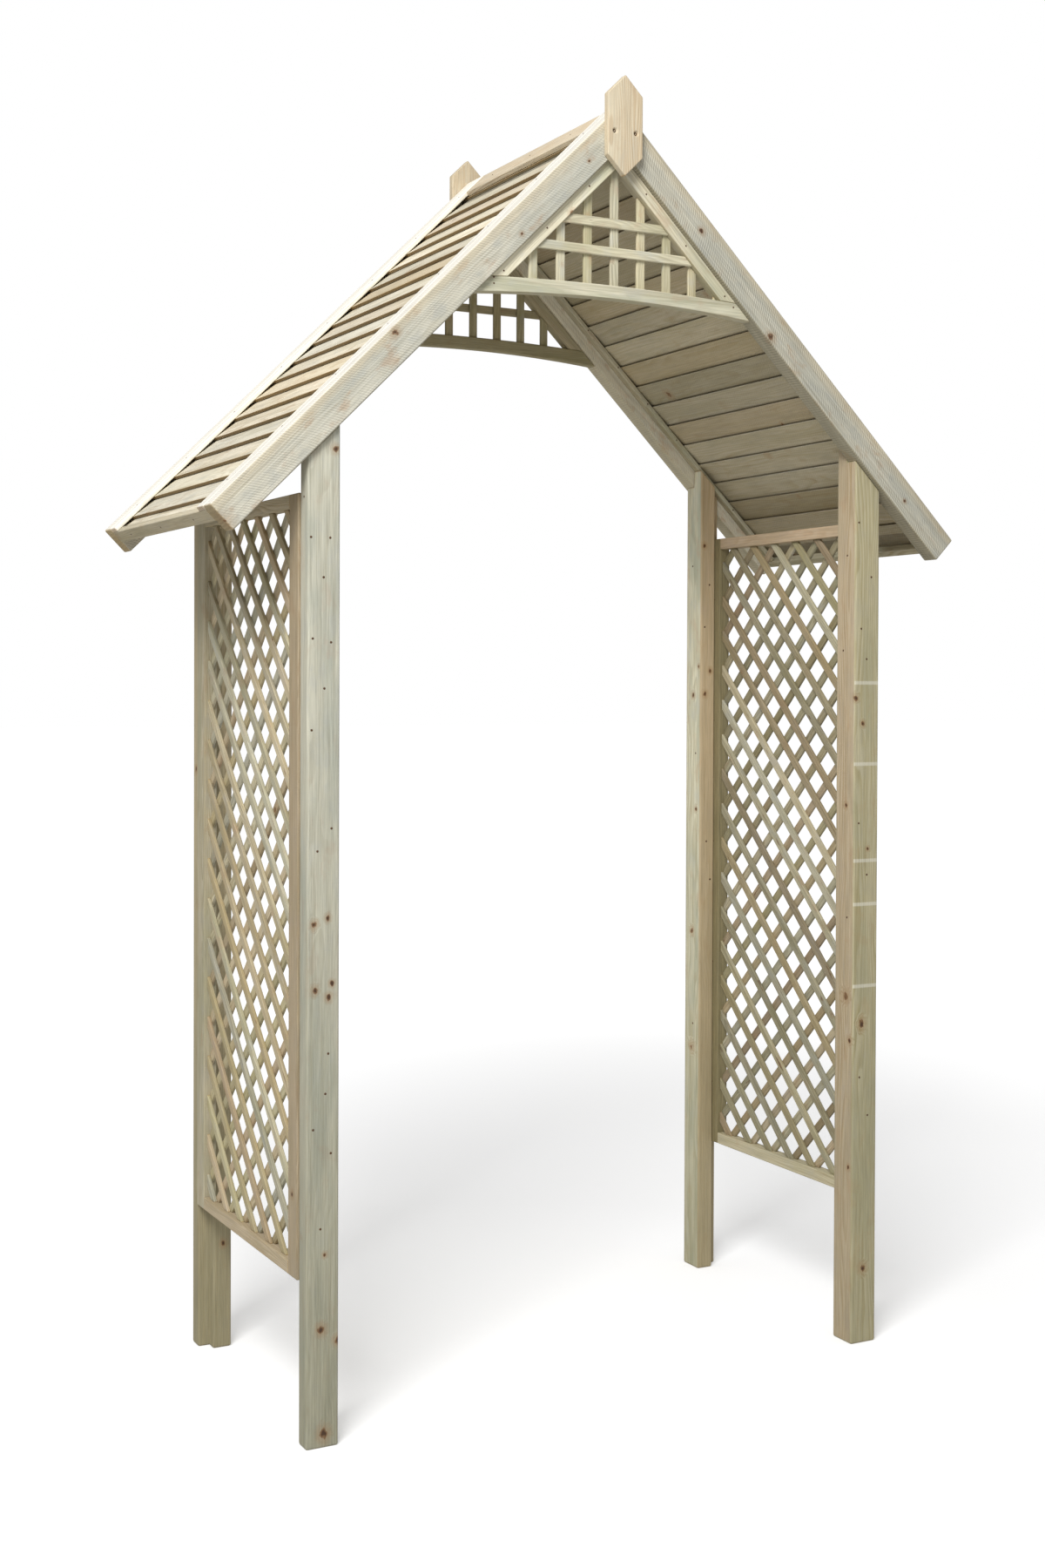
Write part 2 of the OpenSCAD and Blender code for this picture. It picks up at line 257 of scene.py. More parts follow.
class ArchColours(bpy.types.PropertyGroup):
    """Colours of the wood and the fixings"""

    post_pale: colour("Post, pale wood", "Earlywood of the posts", "D0CBB2")
    post_late: colour("Post, dark wood", "Latewood lines of the posts", "968C68")
    post_stain: colour("Post, stain", "Grey-green stain of the treatment", "A5A894")
    rafter_pale: colour("Rafter, pale wood", "Earlywood of the rafters", "D6D2C2")
    rafter_late: colour("Rafter, dark wood", "Latewood lines of the rafters", "A19B84")
    rafter_stain: colour("Rafter, stain", "Grey stain of the rafters", "B1B3A9")
    board_pale: colour("Board, pale wood", "Earlywood of the roof boards", "EEE6D0")
    board_late: colour("Board, dark wood", "Latewood lines of the roof boards", "AF9C74")
    board_stain: colour("Board, stain", "Olive stain of the roof boards", "B5AD8C")
    strip_pale: colour("Strip, pale wood", "Bleached wood of the verge strips", "E9E6DC")
    frame_pale: colour("Frame, pale wood", "Earlywood of frames and collars", "D4CDB4")
    frame_late: colour("Frame, dark wood", "Latewood lines of frames and collars", "988D6B")
    frame_stain: colour("Frame, stain", "Green stain of frames and collars", "A9AA8E")
    lath_pale: colour("Lath, pale wood", "Earlywood of the laths", "CFC7A8")
    lath_late: colour("Lath, dark wood", "Latewood lines of the laths", "8C8160")
    lath_stain: colour("Lath, stain", "Olive stain of the laths", "A39D78")
    finial_pale: colour("Finial, pale wood", "Earlywood of the finial boards", "D3C6AC")
    finial_late: colour("Finial, dark wood", "Latewood lines of the finial boards", "AD8E68")
    finial_stain: colour("Finial, stain", "Orange resin tint of the finials", "C2A67E")
    bloom: colour("Bloom", "Cool grey where the treatment dried on the wood", "B2B4AE")
    bleached: colour("Bleached", "Pale wood under a strap", "DAD6C4")
    tan: colour("Tan", "Reddish brown of the warmer timbers", "B28F6E")
    # Painted shade: laid on faces that look down, for the shade under them
    unbleached: colour("Unbleached", "Wood that looks down and stayed olive brown", "86774B")
    # Painted shade: dark lines for the shadow in the laps of the boards and in the strip grooves
    lap_dirt: colour("Lap dirt", "Dark dirt where two roof boards lap", "3A3020")
    heartwood: colour("Heartwood", "Warm band along the upper part of a rafter", "D2C09C")
    # Painted light: laid on faces that look up, for the light that falls on them
    sunned: colour("Sunned", "Wood that looks up and was bleached by the sun", "F4F1E9")
    # Makes the posts darker toward the bottom
    damp_foot: colour("Damp foot", "Darker wood toward the feet of the posts", "7C785A")
    olive: colour("Olive", "Yellow-green of the more heavily treated timbers", "A4986A")
    knot: colour("Knot", "Brown wood of a knot", "74502F")
    knot_heart: colour("Knot heart", "Dark heart of a knot", "3C281C")
    resin: colour("Resin", "Warm wood round a knot", "9C7A54")
    # Also used for the brown thick edges of the boards, where it is partly painted shade
    end_grain: colour("End grain", "Saw-cut ends and thick edges", "A5824C")
    steel: colour("Nail", "Dull galvanised nail heads", "2E2A27")
    floor: colour("Floor", "Pale studio floor", "EFEFEF")


def sizes():
    """The sizes as the user has set them."""
    return bpy.context.scene.arch_sizes


def shade(name):
    """One of the user's colours, with an alpha of 1."""
    return (*getattr(bpy.context.scene.arch_colours, name), 1)


# ---------------------------------------------------------------------------
# Materials


def add(tree, kind, *values, sockets=None, **settings):
    """Adds a node with its settings, and sets or links its inputs.

    The values go to the shown inputs in their order, and sockets names further ones. A value
    is a number, a colour, an output, or a node whose first shown output is meant.
    """
    made = tree.nodes.new(f"ShaderNode{kind}")
    for name, setting in settings.items():
        setattr(made, name, setting)
    shown = [socket for socket in made.inputs if socket.enabled]
    named = [(made.inputs[name], value) for name, value in (sockets or {}).items()]
    for socket, value in [*zip(shown, values), *named]:
        if isinstance(value, bpy.types.Node):
            value = next(output for output in value.outputs if output.enabled)
        if isinstance(value, bpy.types.NodeSocket):
            tree.links.new(value, socket)
        else:
            socket.default_value = value
    return made


def new_tree(name):
    """A new material's empty node tree, and the function that adds nodes to it."""
    material = bpy.data.materials.new(name)
    material.use_nodes = True
    material.node_tree.nodes.clear()
    return material, partial(add, material.node_tree)


def marks_along(put, grain, run, width, detail=2.0, roughness=0.5):
    """Soft marks in the wood, run metres long with the grain and width metres across it."""
    shrunk = put("VectorMath", grain, (1 / run, 1 / width, 1 / width), operation="MULTIPLY")
    return put("TexNoise", shrunk, 1.0, detail, roughness)


def nearest_knot(put, grain, share, radius, placed):
    """How far the nearest knot is, in radii of that knot: 1 is its rim.

    Chance knots sit in a share of the cells of a 90 mm pattern. Placed ones are read from
    the timber, which holds their places and radii.
    """
    cell = 0.09
    cells = put("TexVoronoi", grain, 1 / cell)
    chance = put("SeparateColor", cells.outputs["Color"])
    gap = put("Math", cells, cell, operation="MULTIPLY")
    size = put("MapRange", chance.outputs[1], 0, 1, radius * 0.45, radius * 1.3)
    reach = put("Math", gap, size, operation="DIVIDE")
    missing = put("Math", chance, share, operation="GREATER_THAN")
    reach = put("Math", missing, FAR_KNOT, reach, operation="MULTIPLY_ADD")
    for number in range(placed):
        knot = put("Attribute", attribute_name=f"knot_{number}")
        apart = put("VectorMath", grain, knot.outputs["Vector"], operation="SUBTRACT")
        # Knots are a quarter longer along the grain than across it
        apart = put("VectorMath", apart, (0.8, 1, 1), operation="MULTIPLY")
        apart = put("VectorMath", apart, operation="LENGTH")
        own_reach = put("Math", apart, knot.outputs["Alpha"], operation="DIVIDE")
        reach = put("Math", reach, own_reach, operation="MINIMUM")
    # No knot is quite round
    ragged = marks_along(put, grain, 0.012, 0.008)
    ragged = put("MapRange", ragged, 0.3, 0.7, -0.3, 0.3)
    return put("Math", reach, ragged)


def treated_pine(name, pale, late, stain, ring=0.005, line=0.6, stained=0.6, mottled=0.3,
                 knots=0.3, knot_size=0.009, placed=0, sawn=0.0, brown_edge=0.0,
                 heartwood=0.0, shaded=0.0, sunned=0.0, laps=(), grooves=(), bark=0.0,
                 foot_darkening=0.0, straps=(), roughness=0.7):
    """Softwood with growth rings round a pith, fibres, stain, knots and sawn ends.

    ring is the distance between two rings in metres, line the strength of the latewood,
    stained and mottled the shares of streaky and of cloudy stain, knots the share of places
    that hold a chance knot, knot_size its radius, placed the number of placed knots, sawn the
    height of saw marks, brown_edge the width of the brown along the lower edge, which is sawn
    wood and partly painted shade, heartwood the width of the warm band along the upper edge,
    shaded the share of olive brown painted as shade where the wood looks down,
    sunned the share of white painted as light where it looks up, laps how far above
    their lower edges boards meet the next board outside and inside, where painted shadow lines
    lie, grooves how far fine grooves, painted as dark shade lines, run from the upper edge, bark
    the share of bark left on, foot_darkening the share of darker wood toward the foot, and
    straps the heights of pale marks.
    """
    material, put = new_tree(name)
    grain = put("Attribute", attribute_name="grain").outputs["Vector"]
    tone = put("SeparateXYZ", put("Attribute", attribute_name="tone").outputs["Vector"])
    light, warm, olive = tone.outputs
    place = put("SeparateColor", put("Attribute", attribute_name="place").outputs["Color"])
    high_edge = put("Attribute", attribute_name="place").outputs["Alpha"]
    low_end, high_end, low_edge = place.outputs

    knot = nearest_knot(put, grain, knots, knot_size, placed)
    core = put("MapRange", knot, 0.95, 0.65, 0, 1, interpolation_type="SMOOTHSTEP")
    heart = put("MapRange", knot, 0.65, 0.2, 0, 0.8, interpolation_type="SMOOTHSTEP")
    halo = put("MapRange", knot, 2.6, 0.8, 0, 1, interpolation_type="SMOOTHSTEP")

    # Growth rings round the pith, which wander along the timber and part round a knot
    round_pith = put("VectorMath", grain, (0, 1, 1), operation="MULTIPLY")
    from_pith = put("VectorMath", round_pith, operation="LENGTH")
    wander = marks_along(put, grain, 0.5, 0.08)
    ring_at = put("Math", wander, 0.07, from_pith, operation="MULTIPLY_ADD")
    ring_at = put("Math", halo, knot_size * 1.6, ring_at, operation="MULTIPLY_ADD")
    phase = put("Math", put("Math", ring_at, ring, operation="DIVIDE"), operation="FRACT")
    rise = put("MapRange", phase, 0.2, 0.85, 0, 1, interpolation_type="SMOOTHSTEP")
    fall = put("MapRange", phase, 1.0, 0.88, 0, 1, interpolation_type="SMOOTHSTEP")
    latewood = put("Math", rise, fall, operation="MULTIPLY")
    strength = put("MapRange", marks_along(put, grain, 0.7, 0.03), 0.35, 0.65, line * 0.3, line)
    lines = put("Math", latewood, strength, operation="MULTIPLY")

    # Fibres are about 0.1 mm wide in the real wood, and 1.8 mm here so that they show
    fibre = marks_along(put, grain, 0.09, 0.0018, 3.0, 0.65)
    streak = marks_along(put, grain, 0.55, 0.007, 3.0, 0.6)
    streak = put("MapRange", streak, 0.5, 0.68, 0, 0.55 * stained, interpolation_type="SMOOTHSTEP")
    patch = marks_along(put, grain, 0.3, 0.05, 4.0, 0.6)
    patch = put("MapRange", patch, 0.42, 0.66, 0, stained, interpolation_type="SMOOTHSTEP")
    cloud = marks_along(put, grain, 0.07, 0.035, 4.0, 0.65)
    cool = put("MapRange", cloud, 0.5, 0.68, 0, mottled, interpolation_type="SMOOTHSTEP")
    rosy = put("MapRange", cloud, 0.46, 0.3, 0, mottled, interpolation_type="SMOOTHSTEP")

    # Each layer is the share of a colour that goes over the wood
    layers = [
        (lines, late), (patch, stain), (streak, late), (cool, "bloom"), (rosy, "tan"),
        (put("MapRange", warm, 0, 1, 0, 0.75), "tan"),
        (put("MapRange", warm, 0, -1, 0, 0.75), "bloom"),
        (put("MapRange", olive, 0, 1, 0, 0.75), "olive"),
        (put("MapRange", low_end, 0.003, 0, 0, 0.6), "end_grain"),
        (put("MapRange", high_end, 0.003, 0, 0, 0.6), "end_grain"),
    ]
    if heartwood:
        band = marks_along(put, grain, 0.4, 0.02)
        band = put("Math", band, heartwood, high_edge, operation="MULTIPLY_ADD")
        band = put("MapRange", band, heartwood * 1.9, heartwood * 1.1, 0, 0.4)
        layers.append((band, "heartwood"))
    facing = put("SeparateXYZ", put("NewGeometry").outputs["Normal"])
    height = put("SeparateXYZ", put("TexCoord").outputs["Object"]).outputs[2]
    # Painted shade: faces that look down are darkened to olive brown
    if shaded:
        looks_down = put("MapRange", facing.outputs[2], -0.2, -0.6, 0, shaded)
        layers.append((looks_down, "unbleached"))
    # Painted light: faces that look up are lightened toward white
    if sunned:
        looks_up = put("MapRange", facing.outputs[2], 0.4, 0.65, 0, sunned)
        layers.append((looks_up, "sunned"))
    # The thick lower edges are brown as raw sawn wood, and partly painted shade, as they face down
    # the slope away from the light
    if brown_edge:
        ragged = put("Math", fibre, brown_edge * 0.8, low_edge, operation="MULTIPLY_ADD")
        sawn_edge_and_shade = put("MapRange", ragged, brown_edge * 1.5, brown_edge * 1.1, 0, 0.7)
        layers.append((sawn_edge_and_shade, "end_grain"))
    if laps:
        # Painted shadow lines in the laps, 3 mm wide, where one board laps over the next
        outside, inside = laps
        looks_up = put("Math", facing.outputs[2], 0, operation="GREATER_THAN")
        above = put("MapRange", low_edge, outside - 0.003, outside - 0.0015, 0, 0.6)
        above = put("Math", above, looks_up, operation="MULTIPLY")
        below = put("MapRange", low_edge, inside + 0.004, inside + 0.002, 0, 0.7)
        below = put("Math", below, looks_down, operation="MULTIPLY")
        layers += [(above, "lap_dirt"), (below, "lap_dirt")]
    # Painted shade: each groove is a dark line where shade would lie in it
    for groove in grooves:
        apart = put("Math", high_edge, groove, operation="SUBTRACT")
        apart = put("Math", apart, operation="ABSOLUTE")
        layers.append((put("MapRange", apart, 0.0014, 0.0004, 0, 0.6), "lap_dirt"))
    # The wood grows darker toward the bottom, below 1.5 m
    if foot_darkening:
        layers.append((put("MapRange", height, 1.5, 0.1, 0, foot_darkening), "damp_foot"))
    for strap in straps:
        # A pale mark 8 mm high on the front of the post, where a strap lay across it
        apart = put("Math", put("Math", height, strap, operation="SUBTRACT"), operation="ABSOLUTE")
        mark = put("MapRange", apart, 0.005, 0.003, 0, 0.6)
        in_front = put("Math", facing.outputs[1], -0.5, operation="LESS_THAN")
        layers.append((put("Math", mark, in_front, operation="MULTIPLY"), "bleached"))
    if bark:
        left_on = marks_along(put, grain, 0.09, 0.012, 3.0, 0.6)
        torn = put("MapRange", left_on, 0.78 - bark, 0.8 - bark, 0, 0.7)
        layers.append((torn, "knot"))
    layers += [
        (put("Math", halo, 0.4, operation="MULTIPLY"), "resin"),
        (put("Math", core, 0.8, operation="MULTIPLY"), "knot"),
        (heart, "knot_heart"),
    ]
    wood = shade(pale)
    for share, colour_name in layers:
        wood = put("Mix", share, wood, shade(colour_name), data_type="RGBA").outputs[2]
    bright = put("MapRange", fibre, 0.25, 0.75, 0.8, 1.2, clamp=False)
    bright = put("Math", light, 0.3, bright, operation="MULTIPLY_ADD")

    # Latewood and fibres stand up a little, and saw marks run across the grain
    relief = put("Math", fibre, 0.0005, operation="MULTIPLY")
    relief = put("Math", lines, 0.0002, relief, operation="MULTIPLY_ADD")
    if sawn:
        along, across, _ = put("SeparateXYZ", grain).outputs
        slanted = put("Math", across, 0.7, along, operation="MULTIPLY_ADD")
        slanted = put("Math", wander, 0.02, slanted, operation="MULTIPLY_ADD")
        # The band saw left a mark every 3 mm, drawn every 6.5 mm so that it shows
        tooth = put("Math", slanted, 2 * math.pi / 0.0065, operation="MULTIPLY")
        tooth = put("Math", tooth, operation="SINE")
        broken = put("MapRange", marks_along(put, grain, 0.03, 0.03), 0.35, 0.6, 0.3, 1)
        tooth = put("Math", tooth, broken, operation="MULTIPLY")
        relief = put("Math", tooth, sawn, relief, operation="MULTIPLY_ADD")
        # Painted light and shade on the saw marks: a mark 0.3 mm high differs in brightness by a
        # tenth
        bright = put("Math", tooth, -350 * sawn, bright, operation="MULTIPLY_ADD")
    wood = put("VectorMath", wood, bright, operation="SCALE")
    bump = put("Bump", sockets={"Height": relief, "Strength": 0.9, "Distance": 1.0})
    rough = put("MapRange", fibre, 0.2, 0.8, roughness - 0.1, roughness + 0.1)
    surface = put("BsdfPrincipled", sockets={
        "Base Color": wood, "Roughness": rough, "Normal": bump, "Specular IOR Level": 0.3,
    })
    put("OutputMaterial", surface)
    return material


def planed_post_pine():
    """Planed, pressure-treated pine: broad faces with quiet rings, grey-green clouds and knots."""
    return treated_pine("planed_post_pine", "post_pale", "post_late", "post_stain",
                        ring=0.006, line=0.5, stained=0.75, mottled=0.3, knots=0.06,
                        placed=KNOTS_A_TIMBER, foot_darkening=0.55)


def strapped_post_pine():
    """Planed pine with bold rings, and pale marks where it was strapped for the treatment."""
    return treated_pine("strapped_post_pine", "post_pale", "post_late", "post_stain",
                        ring=0.008, line=0.85, stained=0.75, mottled=0.3, knots=0.06,
                        placed=KNOTS_A_TIMBER, foot_darkening=0.25, straps=STRAPS)


def sawn_rafter_pine():
    """Fine-sawn, pressure-treated pine: greyed, with slanted saw marks, cloudy stain, painted shade
    where it looks down and painted light where it looks up.
    """
    return treated_pine("sawn_rafter_pine", "rafter_pale", "rafter_late", "rafter_stain",
                        ring=0.008, line=0.35, stained=0.5, mottled=0.5, knots=0.06,
                        knot_size=0.007, placed=KNOTS_A_TIMBER, sawn=0.0003,
                        heartwood=0.018, shaded=0.5, sunned=0.7)


def sawn_board_pine():
    """Sawn feather-edge pine boards: cream faces with fine saw marks, brown thick edges that are
    partly painted shade, painted shade where they look down, and painted shadow lines in the laps.
    """
    return treated_pine("sawn_board_pine", "board_pale", "board_late", "board_stain",
                        ring=0.007, line=0.45, stained=0.35, mottled=0.3, knots=0.14,
                        sawn=0.0002, brown_edge=0.0008, shaded=0.6,
                        laps=(sizes().board_step, sizes().board_width - sizes().board_step))


def bright_strip_pine():
    """Planed pine strips: pale, with quiet grain, painted light where they look up, and two grooves
    painted as dark shade lines.
    """
    return treated_pine("bright_strip_pine", "strip_pale", "board_late", "board_pale",
                        ring=0.006, line=0.35, stained=0.3, mottled=0.15, knots=0.05,
                        sunned=0.5, grooves=(0.010, 0.022))


def planed_frame_pine():
    """Planed pine strips: narrow faces with straight grain, a green cast, and painted shade where
    they look down.
    """
    return treated_pine("planed_frame_pine", "frame_pale", "frame_late", "frame_stain",
                        ring=0.0045, line=0.6, stained=0.65, mottled=0.3, knots=0.1,
                        knot_size=0.006, shaded=0.4)


def planed_lath_pine():
    """Thin planed laths: each from another board, so brown, olive and pale ones mix."""
    return treated_pine("planed_lath_pine", "lath_pale", "lath_late", "lath_stain",
                        ring=0.004, line=0.6, stained=0.7, mottled=0.4, knots=0.16,
                        knot_size=0.007, bark=0.09)


def fresh_finial_pine():
    """Planed pine with little treatment: warm, with fine straight grain."""
    return treated_pine("fresh_finial_pine", "finial_pale", "finial_late", "finial_stain",
                        ring=0.0045, line=0.65, stained=0.3, mottled=0.2, knots=0.05,
                        knot_size=0.006)


def galvanised_steel():
    """Dull galvanised steel: small dark heads with a soft shine."""
    material, put = new_tree("galvanised_steel")
    # Zinc grains about 1 mm wide
    grains = put("TexNoise", put("TexCoord").outputs["Object"], 1000.0)
    tint = put("Mix", grains, shade("steel"), shade("knot"), data_type="RGBA").outputs[2]
    surface = put("BsdfPrincipled", sockets={
        "Base Color": tint, "Metallic": 0.3,
        "Roughness": put("MapRange", grains, 0.2, 0.8, 0.4, 0.65),
        "Normal": put("Bump", sockets={"Height": grains, "Strength": 0.3, "Distance": 0.0002}),
    })
    put("OutputMaterial", surface)
    return material


def finish(make):
    """A finish's material, made the first time that it is asked for."""
    return bpy.data.materials.get(make.__name__) or make()


FINISHES = {
    "post_timber": planed_post_pine,
    "rafter_timber": sawn_rafter_pine,
    "roof_board_timber": sawn_board_pine,
    "frame_timber": planed_frame_pine,
    "lath_timber": planed_lath_pine,
    "finial_timber": fresh_finial_pine,
}


# ---------------------------------------------------------------------------
# Timbers


def cad_mesh(node):
    """A copy of a CAD node's mesh, welded, with its flat faces whole."""
    mesh = bmesh.new()
    mesh.from_mesh(NODES[node].data)
    bmesh.ops.remove_doubles(mesh, verts=mesh.verts, dist=0.00002)
    bmesh.ops.dissolve_limit(mesh, angle_limit=math.radians(0.2), verts=mesh.verts, edges=mesh.edges)
    return mesh


def add_prism(mesh, outline, thickness):
    """Adds a prism: the points of one face, and the vector from it to the other."""
    near = [mesh.verts.new(point) for point in outline]
    far = [mesh.verts.new(point + thickness) for point in outline]
    mesh.faces.new(near)
    mesh.faces.new(list(reversed(far)))
    for i in range(len(near)):
        mesh.faces.new((near[i - 1], near[i], far[i], far[i - 1]))


def add_turned(mesh, point, axis, profile, segments=16):
    """Adds a turned shape round an axis. Its profile is pairs of a radius and a height."""
    turn = axis.to_track_quat("Z", "Y")
    rings = []
    for radius, height in profile:
        angles = [2 * math.pi * i / segments for i in range(segments)]
        offsets = [Vector((radius * math.cos(a), radius * math.sin(a), height)) for a in angles]
        rings.append([mesh.verts.new(point + turn @ offset) for offset in offsets])
    for lower, upper in zip(rings, rings[1:]):
        for i in range(segments):
            mesh.faces.new((lower[i - 1], lower[i], upper[i], upper[i - 1]))
    mesh.faces.new(rings[0])
    mesh.faces.new(rings[-1])


def cut_out(mesh, tool):
    """The first mesh with the second cut out of it."""
    scene = bpy.context.scene.collection
    parts = []
    for solid in (mesh, tool):
        bmesh.ops.recalc_face_normals(solid, faces=solid.faces)
        data = bpy.data.meshes.new("cut")
        solid.to_mesh(data)
        solid.free()
        parts.append(bpy.data.objects.new("cut", data))
        scene.objects.link(parts[-1])
    step = parts[0].modifiers.new("cut", "BOOLEAN")
    step.object = parts[1]
    result = bmesh.new()
    result.from_object(parts[0], bpy.context.evaluated_depsgraph_get())
    for part in parts:
        bpy.data.meshes.remove(part.data)
    return result


def timbers_of(mesh):
    """The separate timbers of a mesh, each as a list of its vertices."""
    seen = set()
    for first in mesh.verts:
        if first in seen:
            continue
        seen.add(first)
        found = [first]
        for vert in found:
            for edge in vert.link_edges:
                other = edge.other_vert(vert)
                if other not in seen:
                    seen.add(other)
                    found.append(other)
        yield found


def timber_axes(verts, along=None):
    """A timber's own axes: along its longest edge, and across its widest face."""
    edges = list(dict.fromkeys(edge for vert in verts for edge in vert.link_edges))
    runs = [edge.verts[1].co - edge.verts[0].co for edge in edges]
    along = (along or max(runs, key=lambda run: run.length)).normalized()
    level = [run - run.dot(along) * along for run in runs if abs(run.normalized().dot(along)) < 0.5]
    across = max(level, key=lambda run: run.length).normalized()
    if along.dot(Vector((1, 1, 1))) < 0:
        along = -along
    if across.dot(Vector((0.1, -0.1, 1))) < 0:
        across = -across
    return along, across, along.cross(across)


def timber_slope(node):
    """The way that a sloping CAD node runs down from the ridge."""
    mesh = cad_mesh(node)
    along = timber_axes(mesh.verts)[0]
    mesh.free()
    return along if along.z < 0 else -along


def round_arrises(mesh, radius):
    """Rounds every outer corner of the timbers."""
    sharp = [e for e in mesh.edges if e.is_convex and e.calc_face_angle(0) > math.radians(25)]
    bmesh.ops.bevel(mesh, geom=sharp, offset=radius, segments=3, profile=0.5, affect="EDGES",
                    clamp_overlap=True)


def store_grain(mesh, name, along, tint, side_tint, variety, knots):
    """Stores each timber's grain, tone, knots and the place on it for the wood materials."""
    layers = mesh.verts.layers
    grain = layers.float_vector.new("grain")
    tone = layers.float_vector.new("tone")
    place = layers.float_color.new("place")
    knot_layers = [layers.float_color.new(f"knot_{number}") for number in range(len(knots))]
    for index, verts in enumerate(timbers_of(mesh)):
        draw = random.Random(f"{name} {index}")
        axes = timber_axes(verts, along)
        turn = draw.uniform(0, 2 * math.pi)
        pith = draw.uniform(0.02, 0.07)
        offset = Vector((draw.uniform(0, 40), pith * math.cos(turn), pith * math.sin(turn)))
        hue = Vector([part + variety * draw.uniform(-1, 1) for part in tint])
        local = [Vector([vert.co.dot(axis) for axis in axes]) for vert in verts]
        low = Vector([min(point[i] for point in local) for i in range(3)])
        high = Vector([max(point[i] for point in local) for i in range(3)])
        left = min(vert.co.x for vert in verts)
        right = max(vert.co.x for vert in verts)
        shift = offset - (low + high) / 2
        for vert, point in zip(verts, local):
            on_side = min(vert.co.x - left, right - vert.co.x) < 0.0001
            vert[grain] = point + shift
            vert[tone] = hue + Vector(side_tint) if on_side else hue
            vert[place] = (point.x - low.x, high.x - point.x, point.y - low.y, high.y - point.y)
            for layer, (centre, radius) in zip(knot_layers, knots):
                vert[layer] = (*(Vector([centre.dot(axis) for axis in axes]) + shift), radius)


def make_piece(name, mesh, material, nodes=()):
    """Turns a mesh into a piece of the arch that rides on its body."""
    bmesh.ops.recalc_face_normals(mesh, faces=mesh.faces)
    data = bpy.data.meshes.new(name)
    for face in mesh.faces:
        face.smooth = True
    mesh.to_mesh(data)
    mesh.free()
    data.materials.append(material)
    piece = bpy.data.objects.new(name, data)
    bpy.context.scene.collection.objects.link(piece)
    normals = piece.modifiers.new("flat_faces", "WEIGHTED_NORMAL")
    normals.keep_sharp = True
    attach(piece, BODY)
    if nodes:
        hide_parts(*nodes)
    return piece


def dress(node, slot, arris, along=None, make=None, variety=0.15, knots=(), mesh=None):
    """Makes the timbers of one CAD node, with rounded arrises and their own grain."""
    mesh = mesh or cad_mesh(node)
    round_arrises(mesh, arris)
    missing = [(Vector((0, 0, FAR_KNOT)), 0.005)] * (KNOTS_A_TIMBER - len(knots))
    placed = [*knots, *missing] if slot in KNOTTY_SLOTS else []
    side_tint = SIDE_TINTS.get(node, NO_TINT)
    store_grain(mesh, node, along, TINTS.get(node, NO_TINT), side_tint, variety, placed)
    return make_piece(f"{node}_timber", mesh, finish(make or FINISHES[slot]), [node])


def clip(outline, point, normal):
    """The part of a flat outline that lies behind a plane."""
    kept = []
    for i, here in enumerate(outline):
        before = outline[i - 1]
        reach_before = (before - point).dot(normal)
        reach = (here - point).dot(normal)
        if (reach_before > 0) != (reach > 0):
            kept.append(before.lerp(here, reach_before / (reach_before - reach)))
        if reach <= 0:
            kept.append(here)
    return kept


def lath(middle, along, width, thickness, limits):
    """A lath's face, clipped by (point, normal) planes, and the vector through the lath."""
    side = along.cross(thickness).normalized() * width / 2
    run = along.normalized() * 2 * CAD_BOX[1].z
    face = [middle - run - side, middle + run - side, middle + run + side, middle - run + side]
    for point, normal in limits:
        face = clip(face, point, normal)
    return face, thickness


def make_laths(node, laths, tint, variety):
    """Makes a lattice of (face, thickness) pairs, each a lath of its own."""
    mesh = bmesh.new()
    for face, thickness in laths:
        if len(face) > 2:
            add_prism(mesh, face, thickness)
    bmesh.ops.recalc_face_normals(mesh, faces=mesh.faces)
    round_arrises(mesh, sizes().lath_arris)
    store_grain(mesh, node, None, tint, NO_TINT, variety, ())
    return make_piece(f"{node}_laths", mesh, finish(planed_lath_pine), [node])


# ---------------------------------------------------------------------------
# Fixings


def on_post(node, face, height, across):
    """A point on a face of a post, and the way the face looks. The sizes are millimetres."""
    low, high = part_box(node)
    x, y, z = low.x + across / 1000, low.y + across / 1000, height / 1000
    return {
        "front": (Vector((x, low.y, z)), -THROUGH),
        "back": (Vector((x, high.y, z)), THROUGH),
        "left": (Vector((low.x, y, z)), -ACROSS),
        "right": (Vector((high.x, y, z)), ACROSS),
    }[face]


def row_on(node, look):
    """Points down the middle of the face that looks one way, and the way it looks."""
    mesh = cad_mesh(node)
    face = max(mesh.faces, key=lambda face: face.normal.dot(look) * face.calc_area())
    runs = [edge.verts[1].co - edge.verts[0].co for edge in face.edges]
    run = max(runs, key=lambda run: run.length)
    middle = face.calc_center_median()
    look = face.normal.copy()
    mesh.free()
    step = next(step for name, step in NAIL_STEPS.items() if name in node)
    count = max(2, round(run.length / step))
    return [(middle + run * ((i + 0.5) / count - 0.5), look) for i in range(count)]


def drive_nails(name, places, head):
    """Makes a group of nails of which only the low domed heads show."""
    mesh = bmesh.new()
    radius = head / 2
    profile = ((radius, -0.001), (radius, 0.0002), (radius * 0.8, 0.0005), (radius * 0.3, 0.0007))
    for point, look in places:
        add_turned(mesh, point, look, profile)
    return make_piece(name, mesh, finish(galvanised_steel))


# ---------------------------------------------------------------------------
# Pieces


class ArchOperator:
    """What the operators of the arch share"""

    bl_options = {"REGISTER", "UNDO"}


